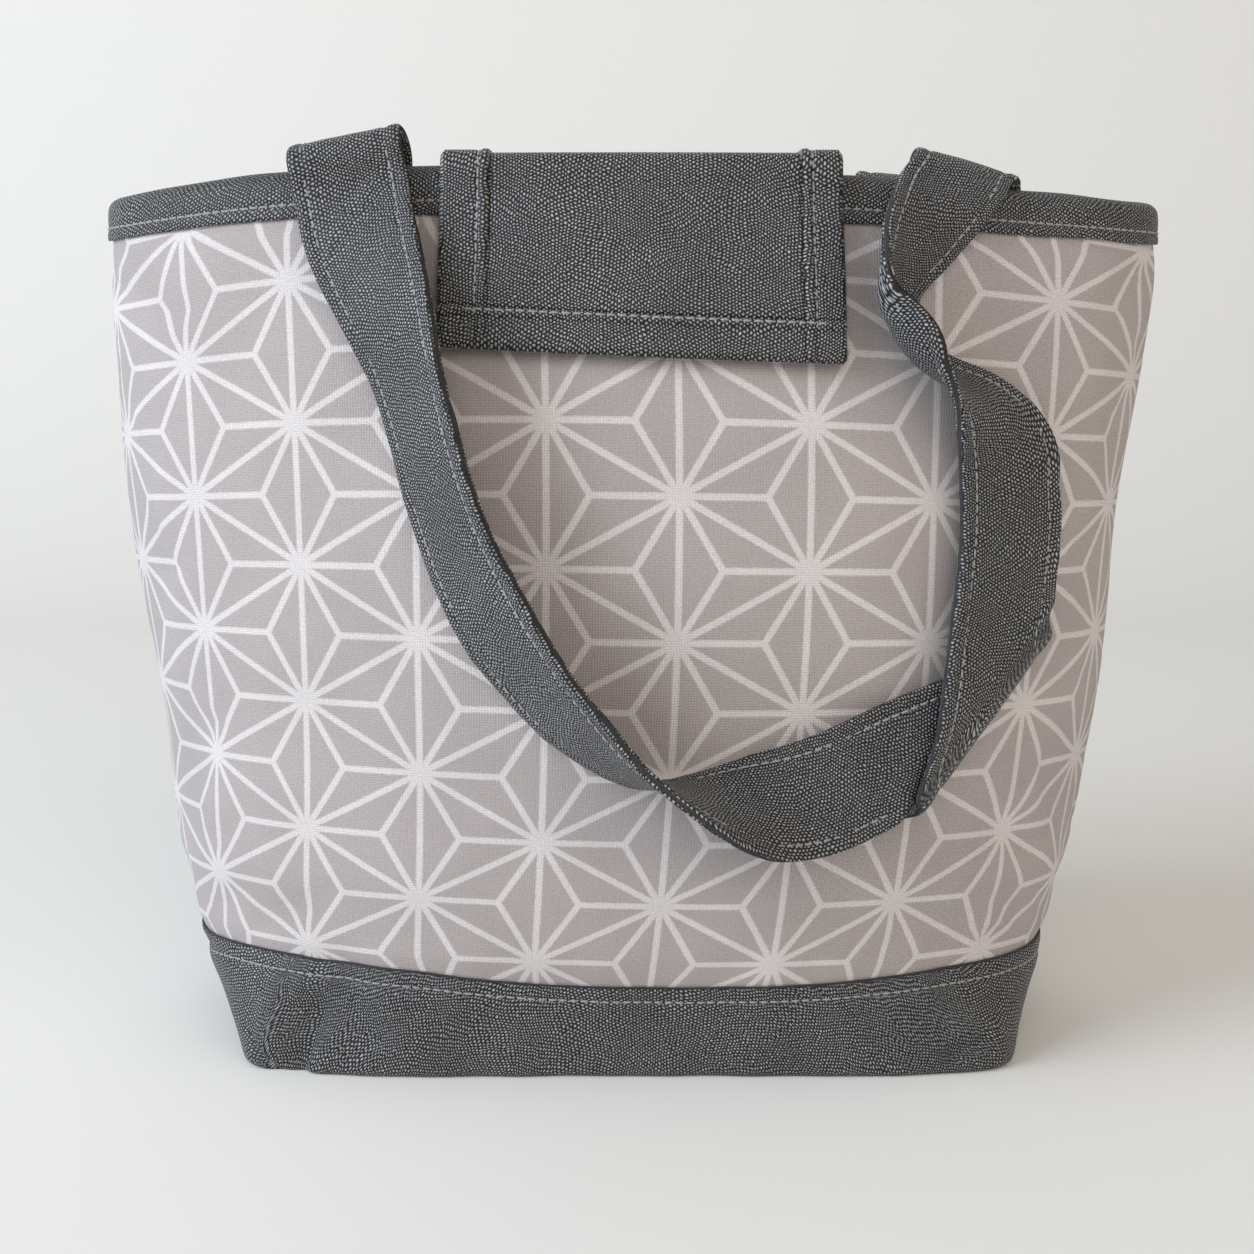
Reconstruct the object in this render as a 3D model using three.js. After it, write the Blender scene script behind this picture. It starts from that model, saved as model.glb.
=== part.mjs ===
// An insulated lunch tote with a fold-over closing flap and two carrying handles.
// Lengths are in millimetres. The bag stands on Z = 0 with +Z up, its front faces -Y and +X is to
// the right of a person who looks at the front. The origin is under the middle of the bag.
import * as THREE from "three";
import { mergeVertices } from "three/addons/utils/BufferGeometryUtils.js";

// Outer size of the bag body at the table, at the band's upper edge, at the belly and at the rim
const BASE_WIDTH = 229;
const BASE_DEPTH = 116;
const BAND_WIDTH = 258; // at the upper edge of the base band
const BAND_DEPTH = 132;
const BELLY_WIDTH = 297;
const BELLY_DEPTH = 146;
const BELLY_HEIGHT = 140;
const RIM_WIDTH = 310;
const RIM_DEPTH = 100;
const BODY_HEIGHT = 257;
const RIM_DROOP = 8; // the rim's side corners hang this much lower than its middle
const BASE_SQUARENESS = 5; // exponent of the plan outline: 2 is an ellipse, 5 nearly a rectangle
const RIM_SQUARENESS = 2.1;
const SQUARENESS_FADE = 4; // how fast the rectangle rounds off above the table

// Cloth and filling
const CANVAS = 1;
const PRINT_CLOTH = 0.8;
const WALL_FOAM = 4;
const LINING = 0.5;
const BOARD = 2;
const BASE_FOAM = 4;
const GAP = 0.3; // between pieces that touch on the real bag
const LOOSE_GAP = 0.8; // between curved pieces that lie loosely on each other

// Trim
const BAND_HEIGHT = 29;
const BAND_CHAMFER = 1.2;
const PANEL_TUCK = 12; // how far the printed cloth runs down behind the band
const BINDING_HEIGHT = 13;
const SEAM_TAPE_WIDTH = 10;
const SEAM_TAPE_FOOT = 20;

// Closing flap
const FLAP_WIDTH = 106;
const FLAP_OFFSET = 3.5; // the flap sits a little to the right of the middle
const FLAP_CLOTH = 1.6;
const FLAP_DROP = 52;
const FLAP_ROOT_DROP = 22;
const FLAP_FRONT_REACH = 3; // from the rim's outer face to the fold
const FLAP_BACK_REACH = 4;
const PATCH_WIDTH = 60;
const PATCH_HEIGHT = 20;
const PATCH_CLOTH = 1.5;
const PATCH_EDGE = 9; // from the flap's lower edge to the patch

// Handles
const HANDLE_WIDTH = 32;
const HANDLE_CLOTH = 2.6;
const HANDLE_TAIL = 33; // length of each end inside the bag

// The front handle from its left end to its right end. Each station gives the strap's middle, as its
// distance to the right of the bag's middle, in front of the wall's outer face and below the rim, and
// the direction from its inner to its outer edge, as parts to the right, towards the wall and down.
// The strap turns over at the bottom, where its inner edge stands away from the bag.
const FRONT_HANDLE_ROUTE = [
  { middle: [-78, -10, -8], lean: [-31, -1, 4] },
  { middle: [-77, -2, -10], lean: [-30, 1, 4] },
  { middle: [-76, 3, -5], lean: [-31, 3, 4] },
  { middle: [-76, 3, 5], lean: [-31, 4, 3] },
  { middle: [-73, 4, 19], lean: [-30, 6, 3] },
  { middle: [-70, 6, 34], lean: [-30, 10, 2] },
  { middle: [-66, 8, 45], lean: [-27, 16, -4] },
  { middle: [-56, 12, 72], lean: [-22, 22, -6] },
  { middle: [-43, 13, 105], lean: [-24, 23, -2] },
  { middle: [-22, 14, 139], lean: [-21, 25, 6] },
  { middle: [-6, 16, 155], lean: [-13, 29, 8] },
  { middle: [10, 18, 164], lean: [-2, 33, 4] },
  { middle: [25, 17, 166], lean: [6, 29, -12] },
  { middle: [40, 13, 168], lean: [7, 21, -24] },
  { middle: [53, 10, 168], lean: [6, 15, -29] },
  { middle: [64, 9, 164], lean: [5, 15, -29] },
  { middle: [75, 12, 160], lean: [6, 19, -21] },
  { middle: [84, 15, 154], lean: [13, 28, -10] },
  { middle: [91, 13, 144], lean: [20, 27, 1] },
  { middle: [101, 8, 121], lean: [28, 20, 1] },
  { middle: [104, 6, 95], lean: [30, 15, 2] },
  { middle: [102, 9, 72], lean: [27, 21, 0] },
  { middle: [90, 16, 52], lean: [16, 28, 3] },
  { middle: [78, 19, 40], lean: [5, 30, 3] },
  { middle: [74, 18, 29], lean: [9, 30, 5] },
  { middle: [77, 14, 19], lean: [20, 24, 4] },
  { middle: [84, 8, 7], lean: [29, 14, 4] },
  { middle: [88, 4, -2], lean: [31, 6, 4] },
  { middle: [90, -2, -6], lean: [31, 2, 4] },
  { middle: [92, -8, -7], lean: [31, 0, 3] },
];

// The right half of the back handle, which hangs evenly. Its left half is the mirror image.
const BACK_HANDLE_HALF = [
  { middle: [86, -10, -3], lean: [31, 1, 2] },
  { middle: [86, -2, -4], lean: [31, 2, 3] },
  { middle: [86, 3, 0], lean: [31, 5, 3] },
  { middle: [86, 3, 10], lean: [31, 6, 2] },
  { middle: [84, 4, 32], lean: [31, 10, 2] },
  { middle: [81, 7, 57], lean: [30, 15, 3] },
  { middle: [74, 9, 86], lean: [28, 17, 2] },
  { middle: [64, 11, 115], lean: [26, 17, 11] },
  { middle: [46, 10, 142], lean: [19, 16, 21] },
  { middle: [23, 9, 159], lean: [10, 14, 28] },
  { middle: [0, 8, 164], lean: [0, 13, 30] },
];

// How finely the curved pieces are divided
const STEPS_AROUND_HALF = 24;
const LEVEL_STEPS = 8; // between the band and the binding
const HANDLE_STEPS = 3; // between two stations of a handle
const END_STEPS = 6; // across and along a handle's sewn end
const FLAP_STEPS = 6; // across the flap and its patches, and along the bridge
const TONGUE_STEPS = 4;
const TOUCHING = 1e-4; // corners this close are one corner

// How far inside the body's outer face each layer of the wall begins
const PRINT_FACE = CANVAS + GAP;
const FOAM_FACE = PRINT_FACE + PRINT_CLOTH + GAP;
const LINING_FACE = FOAM_FACE + WALL_FOAM + GAP;
const TRIM_FACE = LINING_FACE + LINING + GAP;
const INSIDE_FACE = TRIM_FACE + CANVAS;

// Heights of the layers that lie on the floor of the bag
const BOARD_FOOT = CANVAS + GAP;
const BASE_FOAM_FOOT = BOARD_FOOT + BOARD + GAP;
const BASE_LINING_FOOT = BASE_FOAM_FOOT + BASE_FOAM + GAP;
const WALL_LINING_FOOT = BASE_LINING_FOOT + LINING + GAP;
const LAYER_TOP = BODY_HEIGHT - CANVAS - GAP; // where the wall's layers end under the binding

const FRONT = -1;
const BACK = 1;
const RING = 1000; // radius of the unbent rings, measured to the body's outer face

const canvasLook = { color: 0x5a5f62, roughness: 0.9, metalness: 0 };
const printLook = { color: 0xb2aaaa, roughness: 0.85, metalness: 0 };
const foamLook = { color: 0xe8e6df, roughness: 0.95, metalness: 0 };
const liningLook = { color: 0xc9ccd0, roughness: 0.45, metalness: 0 };
const boardLook = { color: 0x2b2c2e, roughness: 0.6, metalness: 0 };
const patchLook = { color: 0x3b3f42, roughness: 1, metalness: 0 };

// The body's width and depth on smooth curves over the height.
const outlineLevels = [0, BAND_HEIGHT, BELLY_HEIGHT, BODY_HEIGHT];
const outlineWidths = [BASE_WIDTH, BAND_WIDTH, BELLY_WIDTH, RIM_WIDTH];
const outlineDepths = [BASE_DEPTH, BAND_DEPTH, BELLY_DEPTH, RIM_DEPTH];
const widthCurve = new THREE.CubicInterpolant(outlineLevels, outlineWidths, 1);
const depthCurve = new THREE.CubicInterpolant(outlineLevels, outlineDepths, 1);

// The body's plan outline at one level, drawn in by an inset.
function outlineAt(level, inset) {
  const fromRim = 1 - THREE.MathUtils.clamp(level / BODY_HEIGHT, 0, 1);
  return {
    halfWidth: widthCurve.evaluate(level)[0] / 2 - inset,
    halfDepth: depthCurve.evaluate(level)[0] / 2 - inset,
    squareness: RIM_SQUARENESS + (BASE_SQUARENESS - RIM_SQUARENESS) * fromRim ** SQUARENESS_FADE,
  };
}

function droopAt(share, level) {
  return RIM_DROOP * share ** 2 * (level / BODY_HEIGHT) ** 3;
}

// A point of the wall by its turn about the bag: 0 is the right side and half a turn the left.
function pointByTurn(side, turn, inset, level) {
  const outline = outlineAt(level, inset);
  const power = 2 / outline.squareness;
  const share = Math.sign(Math.cos(turn)) * Math.abs(Math.cos(turn)) ** power;
  const depth = outline.halfDepth * Math.abs(Math.sin(turn)) ** power;
  return new THREE.Vector3(outline.halfWidth * share, side * depth, level - droopAt(share, level));
}

// A point of the front or back wall by its distance from the middle plane.
function pointByOffset(side, across, inset, level) {
  const outline = outlineAt(level, inset);
  const share = THREE.MathUtils.clamp(across / outline.halfWidth, -1, 1);
  const depth = outline.halfDepth * (1 - Math.abs(share) ** outline.squareness) ** (1 / outline.squareness);
  return new THREE.Vector3(across, side * depth, level - droopAt(share, level));
}

// A point of the left or right wall by its distance in front of or behind the side seam.
function pointBySeam(sideSign, along, inset, level) {
  const outline = outlineAt(level, inset);
  const share = Math.abs(along / outline.halfDepth);
  const reach = (1 - share ** outline.squareness) ** (1 / outline.squareness);
  return new THREE.Vector3(sideSign * outline.halfWidth * reach, along, level - droopAt(reach, level));
}

// Whole steps from one value to another.
function evenly(low, high, count) {
  return Array.from({ length: count + 1 }, (_, i) => low + ((high - low) * i) / count);
}

// The two ends and every shared level between them, so that nested layers bend at the same heights.
function levelsBetween(low, high) {
  const aboveBand = evenly(BAND_HEIGHT, BODY_HEIGHT - BINDING_HEIGHT, LEVEL_STEPS);
  const shared = [BAND_HEIGHT - PANEL_TUCK, ...aboveBand];
  return [low, ...shared.filter((level) => level > low + GAP && level < high - GAP), high];
}

// Six times the volume that the triangles enclose, negative when they face inwards.
function signedVolume(geometry) {
  const position = geometry.attributes.position;
  const corner = [new THREE.Vector3(), new THREE.Vector3(), new THREE.Vector3()];
  let sum = 0;
  for (let i = 0; i < geometry.index.count; i += 3) {
    corner.forEach((point, k) => point.fromBufferAttribute(position, geometry.index.getX(i + k)));
    sum += corner[0].dot(corner[1].cross(corner[2]));
  }
  return sum;
}

// One closed body with shared vertices and its faces outwards.
function closedBody(bent) {
  bent.deleteAttribute("normal");
  bent.deleteAttribute("uv");
  const geometry = mergeVertices(bent, TOUCHING);
  if (signedVolume(geometry) < 0) {
    geometry.index.array.reverse();
  }
  geometry.computeVertexNormals();
  return geometry;
}

// Turns the diagonals of a box's lower face, so that both faces of a bent sheet fold alike.
function matchDiagonals(geometry) {
  const index = geometry.index.array;
  const lower = geometry.groups[3];
  for (let i = lower.start; i < lower.start + lower.count; i += 6) {
    const [a, b, d, , c] = index.slice(i, i + 6);
    index.set([a, b, c, a, c, d], i);
  }
}

// A sheet divided at the given stations, each of whose corners is put in its place on the bag.
function bentSheet(columns, layers, rows, place) {
  const width = columns.length - 1;
  const height = rows.length - 1;
  const geometry = new THREE.BoxGeometry(width, 1, height, width, 1, height);
  matchDiagonals(geometry);
  const position = geometry.attributes.position;
  for (let i = 0; i < position.count; i += 1) {
    const column = columns[Math.round(position.getX(i) + width / 2)];
    const layer = layers[Math.round(position.getY(i) + 0.5)];
    const row = rows[Math.round(position.getZ(i) + height / 2)];
    position.setXYZ(i, ...place(column, layer, row).toArray());
  }
  return closedBody(geometry);
}

// A ring or disc of the given section, bent from a circle to the body's outline. Each section
// point is [inset, level], and an inset of RING is the middle of the bag.
function bentRing(section) {
  const outline = section.map(([inset, level]) => new THREE.Vector2(RING - inset, level));
  const geometry = new THREE.LatheGeometry(outline, 2 * STEPS_AROUND_HALF);
  const position = geometry.attributes.position;
  for (let i = 0; i < position.count; i += 1) {
    const radius = Math.hypot(position.getX(i), position.getZ(i));
    const turn = Math.atan2(position.getX(i), position.getZ(i));
    const side = turn < 0 ? BACK : FRONT;
    const level = position.getY(i);
    const place = pointByTurn(side, Math.abs(turn), RING - radius, level);
    if (radius < TOUCHING) {
      place.set(0, 0, level);
    }
    position.setXYZ(i, ...place.toArray());
  }
  return closedBody(geometry);
}

// A flat layer on the floor of the bag, inside the wall's foam.
function floorLayer(foot, thickness) {
  return bentRing([
    [RING, foot],
    [LINING_FACE, foot],
    [LINING_FACE, foot + thickness],
    [RING, foot + thickness],
  ]);
}

// Half of a layer of the wall, from one side seam to the other.
function wallLayer(side, inset, thickness, foot, top) {
  const turns = evenly(0, Math.PI, STEPS_AROUND_HALF);
  return bentSheet(turns, [inset, inset + thickness], levelsBetween(foot, top), (turn, depth, level) => {
    const point = pointByTurn(side, turn, depth, level);
    point.y = side * Math.max(Math.abs(point.y), GAP / 2);
    return point;
  });
}

// The canvas tray that the bag stands on: a floor with a band all round.
function baseCover() {
  const levels = levelsBetween(BAND_CHAMFER, BAND_HEIGHT);
  const outside = levels.map((level) => [0, level]);
  const inside = levelsBetween(CANVAS, BAND_HEIGHT).map((level) => [CANVAS, level]);
  return bentRing([[RING, 0], [BAND_CHAMFER, 0], ...outside, ...inside.reverse(), [RING, CANVAS]]);
}

// The folded canvas strip over the rim, as one ring of upside-down U section.
function rimBinding() {
  const foot = BODY_HEIGHT - BINDING_HEIGHT;
  const underside = BODY_HEIGHT - CANVAS;
  return bentRing([
    [0, foot],
    [0, BODY_HEIGHT],
    [INSIDE_FACE, BODY_HEIGHT],
    [INSIDE_FACE, foot],
    [TRIM_FACE, foot],
    [TRIM_FACE, underside],
    [CANVAS, underside],
    [CANVAS, foot],
    [0, foot],
  ]);
}

// The tape that covers a side seam inside the bag.
function seamTape(sideSign) {
  const half = SEAM_TAPE_WIDTH / 2;
  const top = BODY_HEIGHT - BINDING_HEIGHT - GAP;
  const layers = [TRIM_FACE + LOOSE_GAP, TRIM_FACE + LOOSE_GAP + LINING];
  return bentSheet([-half, 0, half], layers, levelsBetween(SEAM_TAPE_FOOT, top), (along, inset, level) =>
    pointBySeam(sideSign, along, inset, level),
  );
}

// Where the flap runs: the two fold lines and the flap's edges.
const flapLevel = BODY_HEIGHT + GAP + FLAP_CLOTH / 2 + LOOSE_GAP;
const flapFrontFold = -(RIM_DEPTH / 2 + FLAP_FRONT_REACH);
const flapBackFold = RIM_DEPTH / 2 + FLAP_BACK_REACH;
const flapColumns = evenly(FLAP_OFFSET - FLAP_WIDTH / 2, FLAP_OFFSET + FLAP_WIDTH / 2, FLAP_STEPS);
const patchColumns = evenly(FLAP_OFFSET - PATCH_WIDTH / 2, FLAP_OFFSET + PATCH_WIDTH / 2, FLAP_STEPS);
const flapFoot = BODY_HEIGHT - FLAP_DROP;
const patchRows = evenly(flapFoot + PATCH_EDGE, flapFoot + PATCH_EDGE + PATCH_HEIGHT, 1);

// The two halves of the closure lie between the printed cloth and the flap, as heights above it.
const loopFaces = [PRINT_FACE - GAP, PRINT_FACE - GAP - PATCH_CLOTH];
const hookFaces = [loopFaces[1] - GAP, loopFaces[1] - GAP - PATCH_CLOTH];
const tongueFaces = [hookFaces[1] - GAP, hookFaces[1] - GAP - FLAP_CLOTH];

// The part of the flap that spans the mouth.
function flapBridge() {
  const rows = evenly(flapFrontFold + GAP, flapBackFold - GAP, FLAP_STEPS);
  const layers = [flapLevel - FLAP_CLOTH / 2, flapLevel + FLAP_CLOTH / 2];
  return bentSheet(flapColumns, layers, rows, (across, level, along) => {
    return new THREE.Vector3(across, along, level);
  });
}

// A piece that lies on the front or back wall at a given height above its outer face.
function onWall(side, columns, faces, rows) {
  return bentSheet(columns, faces, rows, (across, inset, level) => pointByOffset(side, across, inset, level));
}

// The part of the flap that hangs in front of the wall. It never lies further back than the fold.
function flapTongue() {
  const rows = evenly(flapFoot, flapLevel - GAP, TONGUE_STEPS);
  return bentSheet(flapColumns, tongueFaces, rows, (across, inset, level) => {
    const point = pointByOffset(FRONT, across, inset, level);
    point.y = Math.min(point.y, flapFrontFold - (tongueFaces[0] - inset));
    return point;
  });
}

// The flap's sewn end, which lies behind the back wall. It never lies further back than the fold.
function flapRoot() {
  const faces = [-LOOSE_GAP, -LOOSE_GAP - FLAP_CLOTH];
  return onWall(BACK, flapColumns, faces, evenly(BODY_HEIGHT - FLAP_ROOT_DROP, flapLevel - FLAP_CLOTH, 2));
}

// One edge of a handle at a station: side -1 is its inner edge, 0 its middle and 1 its outer edge.
function handlePoint(wall, { middle, lean }, edge) {
  const [across, standoff, drop] = middle;
  const point = pointByOffset(wall, across, -standoff, BODY_HEIGHT - drop);
  const direction = new THREE.Vector3(lean[0], -wall * lean[1], -lean[2]).normalize();
  return point.addScaledVector(direction, (edge * HANDLE_WIDTH) / 2);
}

// A handle's sewn end: it follows the wall inside the bag and stands up to the handle's end.
function handleEnd(wall, station) {
  const clearance = HANDLE_CLOTH / 2 + GAP;
  const face = INSIDE_FACE + LOOSE_GAP;
  const columns = evenly(-1, 1, END_STEPS);
  const rows = evenly(0, HANDLE_TAIL, END_STEPS);
  return bentSheet(columns, [face, face + HANDLE_CLOTH], rows, (edge, inset, depth) => {
    const seat = handlePoint(wall, station, edge);
    const height = seat.z - clearance - depth;
    const point = pointByOffset(wall, seat.x, inset, height);
    return pointByOffset(wall, seat.x, inset, 2 * height - point.z);
  });
}

// A flat strap between two smooth edges.
function handle(wall, route) {
  const [inner, outer] = [-1, 1].map((edge) => {
    return new THREE.CatmullRomCurve3(route.map((station) => handlePoint(wall, station, edge)));
  });
  const faces = [-HANDLE_CLOTH / 2, HANDLE_CLOTH / 2];
  const steps = evenly(0, 1, HANDLE_STEPS * (route.length - 1));
  return bentSheet([0, 1], faces, steps, (across, rise, along) => {
    const start = inner.getPoint(along);
    const end = outer.getPoint(along);
    const forward = inner.getTangent(along).add(outer.getTangent(along)).normalize();
    const normal = new THREE.Vector3().subVectors(end, start).cross(forward).normalize();
    return start.lerp(end, across).addScaledVector(normal, rise);
  });
}

function mirrored({ middle, lean }) {
  return { middle: [-middle[0], middle[1], middle[2]], lean: [-lean[0], lean[1], lean[2]] };
}

const backHandleLeft = BACK_HANDLE_HALF.slice(0, -1).map(mirrored);
const backHandleRoute = [...backHandleLeft, ...BACK_HANDLE_HALF.slice().reverse()];

const bag = new THREE.Group();

function addPiece(name, geometry, look) {
  const mesh = new THREE.Mesh(geometry, new THREE.MeshStandardMaterial(look));
  mesh.name = name;
  bag.add(mesh);
}

addPiece("base_cover", baseCover(), canvasLook);
addPiece("base_board", floorLayer(BOARD_FOOT, BOARD), boardLook);
addPiece("base_foam", floorLayer(BASE_FOAM_FOOT, BASE_FOAM), foamLook);
addPiece("base_lining", floorLayer(BASE_LINING_FOOT, LINING), liningLook);

for (const [name, side] of [
  ["front", FRONT],
  ["back", BACK],
]) {
  const panel = wallLayer(side, PRINT_FACE, PRINT_CLOTH, BAND_HEIGHT - PANEL_TUCK, LAYER_TOP);
  addPiece(`${name}_panel`, panel, printLook);
  addPiece(`${name}_foam`, wallLayer(side, FOAM_FACE, WALL_FOAM, CANVAS + GAP, LAYER_TOP), foamLook);
  addPiece(`${name}_lining`, wallLayer(side, LINING_FACE, LINING, WALL_LINING_FOOT, LAYER_TOP), liningLook);
}

addPiece("left_seam_tape", seamTape(-1), canvasLook);
addPiece("right_seam_tape", seamTape(1), canvasLook);
addPiece("rim_binding", rimBinding(), canvasLook);

addPiece("flap_root", flapRoot(), canvasLook);
addPiece("flap_bridge", flapBridge(), canvasLook);
addPiece("flap_tongue", flapTongue(), canvasLook);
addPiece("hook_patch", onWall(FRONT, patchColumns, hookFaces, patchRows), patchLook);
addPiece("loop_patch", onWall(FRONT, patchColumns, loopFaces, patchRows), patchLook);

for (const [name, side, route] of [
  ["front", FRONT, FRONT_HANDLE_ROUTE],
  ["back", BACK, backHandleRoute],
]) {
  addPiece(`${name}_handle`, handle(side, route), canvasLook);
  addPiece(`${name}_handle_left_end`, handleEnd(side, route[0]), canvasLook);
  addPiece(`${name}_handle_right_end`, handleEnd(side, route[route.length - 1]), canvasLook);
}

export default bag;
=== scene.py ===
# The insulated lunch tote in its looks: a lofted, padded body of printed cloth with canvas trim, a
# fold-over flap and two strap handles. Lengths are in millimetres until a mesh is made.
import math

import bmesh
import bpy
import numpy as np
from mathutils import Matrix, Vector


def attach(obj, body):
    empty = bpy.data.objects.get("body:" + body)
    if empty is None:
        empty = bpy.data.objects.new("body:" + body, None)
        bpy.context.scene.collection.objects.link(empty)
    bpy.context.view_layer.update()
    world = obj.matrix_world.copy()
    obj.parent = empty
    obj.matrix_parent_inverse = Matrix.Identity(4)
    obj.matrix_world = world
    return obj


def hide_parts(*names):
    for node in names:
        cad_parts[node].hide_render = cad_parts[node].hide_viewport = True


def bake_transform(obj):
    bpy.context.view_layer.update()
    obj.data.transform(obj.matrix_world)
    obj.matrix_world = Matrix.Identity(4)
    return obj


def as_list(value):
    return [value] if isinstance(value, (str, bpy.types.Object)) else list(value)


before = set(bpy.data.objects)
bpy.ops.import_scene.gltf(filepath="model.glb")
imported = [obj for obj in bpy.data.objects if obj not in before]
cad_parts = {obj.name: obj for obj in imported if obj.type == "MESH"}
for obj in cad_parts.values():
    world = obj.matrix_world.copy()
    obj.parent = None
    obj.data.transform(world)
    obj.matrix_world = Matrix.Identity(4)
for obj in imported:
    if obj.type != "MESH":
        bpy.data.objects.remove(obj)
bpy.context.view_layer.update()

MM = 0.001
FRONT, BACK = -1, 1

# The body's height, a level just below its rim, and its outer half sizes, as (height, size)
BODY_HEIGHT = 257
RIM_LEVEL = BODY_HEIGHT - 3
LEFT_HALF_WIDTH = [
    (0, 112.8), (29, 131.5), (53, 137.9), (102, 144.5), (160, 152.4), (225, 154.3), (BODY_HEIGHT, 153.3),
]
RIGHT_HALF_WIDTH = [
    (0, 112.2), (29, 127.7), (53, 134.6), (102, 144.3), (160, 148.2), (225, 155.8), (BODY_HEIGHT, 155.2),
]
HALF_DEPTH = [(0, 58), (29, 65), (140, 76), (BODY_HEIGHT, 49)]
# The power of the rounded outline seen from above, where 2 is an ellipse and more is squarer
SQUARENESS = [(0, 8.5), (14, 4), (29, 2.6), (60, 2.15), (140, 1.91), (BODY_HEIGHT, 1.95)]
# The rim's height across the bag, as (distance from the middle, height)
RIM_LINE = [(-155, 249.2), (-92, 256.5), (-60, 257.5), (0, 257.4), (57, 255.3), (103, 251.7), (155, 248)]

# Layers of the wall: distances inside the outer face, thicknesses, and the levels where they begin and end
CANVAS = 1
PRINT_FACE, PRINT_CLOTH = 1.3, 0.8
FOAM_FACE, WALL_FOAM = 2.4, 4
LINING_FACE, LINING = 6.7, 0.5
TAPE_FACE = 7.5
INSIDE_FACE = 8.5
LAYER_TOP = 252.5
FLOOR_FACE = 8.1
PANEL_FOOT = 20
PADDING_FOOT = 4.5
INSIDE_FOOT = FLOOR_FACE + 0.7

# Trim. The base band's upper edge is given like the rim's height.
BAND_LINE = [
    (-131, 29.5), (-122, 32.4), (-108, 33.3), (-92, 33), (-61, 32), (-44, 30.5), (-19, 29),
    (35, 28.4), (64, 28.8), (104, 30), (128, 30),
]
BAND_FOOT = 2.2
BAND_STITCH_DROP = 4
BINDING_HEIGHT = 13
BINDING_STITCH_RISE = 3.6
BINDING_CROWN = 3.6
TAPE_HALF_ANGLE = 0.075
TAPE_CLOTH = 0.8
TAPE_FOOT = 21
STITCH_PITCH = 3

# Folds of the front wall by the base corners. A crease is (start, end, widths on its left and right, depth)
# and a swell (middle, spread, rise). Places are (distance from the middle, height).
CREASES = [
    ((-93, 21), (-101, 1), (4.5, 6), 4.4),
    ((-86, 31), (-74, 10), (6, 10), 1.8),
    ((-112, 10), (-104, 0), (0.9, 0.9), 1.2),
    ((93, 5), (105, 9), (4, 1.5), 1.6),
]
SWELLS = [((-104, 14), (5, 11), 2.0), ((100, 13), (9, 5), 0.8)]

# Closing flap. The height of its foot is given like the rim's.
FLAP_TOP_SIDES = (-50.6, 56.8)
FLAP_FOOT_SIDES = (-51.4, 57.4)
FLAP_FOOT_LINE = [(-50, 209), (56, 204.5)]
FLAP_CLOTH = 1.7
FLAP_HEMS = (12.6, 10.5)
FLAP_FOOT_HEM = 11.5
FLAP_RISE = 260.2
FLAP_SAG = 0.8
FLAP_STAND = 1.9
FLAP_BEND = 4.5
FLAP_ROOT = 233
FLAP_STITCH_INSET = 3
HEM_RISE = 0.85
HEM_GROOVE = 0.5
PATCH_SIDES = (-26, 34)
PATCH_LEVELS = (213, 231)

# Handles
HANDLE_WIDTH = 32
HANDLE_CLOTH = 2.7
HANDLE_TAIL = 33
HANDLE_SEWN = 29.5
HANDLE_STITCH_INSET = 4
RIM_BEND = 13
SEAM_SKEW = 3
# The share of the front strap's length at which its halves meet, hidden by its fold
FRONT_JOIN = 0.597


def smooth_curve(at, stations):
    """A smooth curve through (position, value) stations, held level beyond its ends."""
    knots, values = np.array(stations, float).T
    at = np.clip(at, knots[0], knots[-1])
    gaps = np.diff(knots)
    slopes = np.diff(values) / gaps
    tangents = np.concatenate([slopes[:1], np.zeros(len(gaps) - 1), slopes[-1:]])
    tangents[1:-1] = (slopes[:-1] * gaps[1:] + slopes[1:] * gaps[:-1]) / (gaps[1:] + gaps[:-1])
    i = np.clip(np.searchsorted(knots, at) - 1, 0, len(gaps) - 1)
    gap = gaps[i]
    t = (at - knots[i]) / gap
    start = (1 + 2 * t) * (1 - t) ** 2 * values[i] + t * (1 - t) ** 2 * gap * tangents[i]
    return start + t**2 * (3 - 2 * t) * values[i + 1] + t**2 * (t - 1) * gap * tangents[i + 1]


def smooth_step(low, high, at):
    t = np.clip((at - low) / (high - low), 0, 1)
    return t * t * (3 - 2 * t)


def unit(vectors):
    return vectors / np.linalg.norm(vectors, axis=-1, keepdims=True)


def sample(values, at, want):
    """Values [station, n] given at some measure, read off evenly between its stations."""
    return np.stack([np.interp(want, at, column) for column in values.T], -1)


def hill(distance, spread):
    """A smooth hill of height 1 round a distance of 0."""
    return np.exp(-((distance / spread) ** 2))


def waves(u, v, length, seed):
    """Gentle uneven ripples between about -1 and 1, of roughly the given wavelength."""
    chance = np.random.default_rng(seed)
    total = np.zeros(np.broadcast(u, v).shape)
    for _ in range(6):
        turn = chance.uniform(0, math.pi)
        pace = 2 * math.pi / (length * chance.uniform(0.7, 1.5))
        total += np.sin(pace * (u * math.cos(turn) + v * math.sin(turn)) + chance.uniform(0, 6.3))
    return total / 3.5


# The wall

def half_width(x, level):
    return np.where(x < 0, smooth_curve(level, LEFT_HALF_WIDTH), smooth_curve(level, RIGHT_HALF_WIDTH))


def sunk(x, level):
    """The height of a level line, which droops towards the bag's side corners."""
    return level - (BODY_HEIGHT - smooth_curve(x, RIM_LINE)) * (level / BODY_HEIGHT) ** 3


def placed(side, x, depth, level):
    x, depth, level = np.broadcast_arrays(x, depth, level)
    return np.stack([x, side * depth, sunk(x, level)], -1)


def reach(along, away, width, depth, power):
    return (np.abs(along / width) ** power + np.abs(away / depth) ** power) ** (-1 / power)


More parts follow.
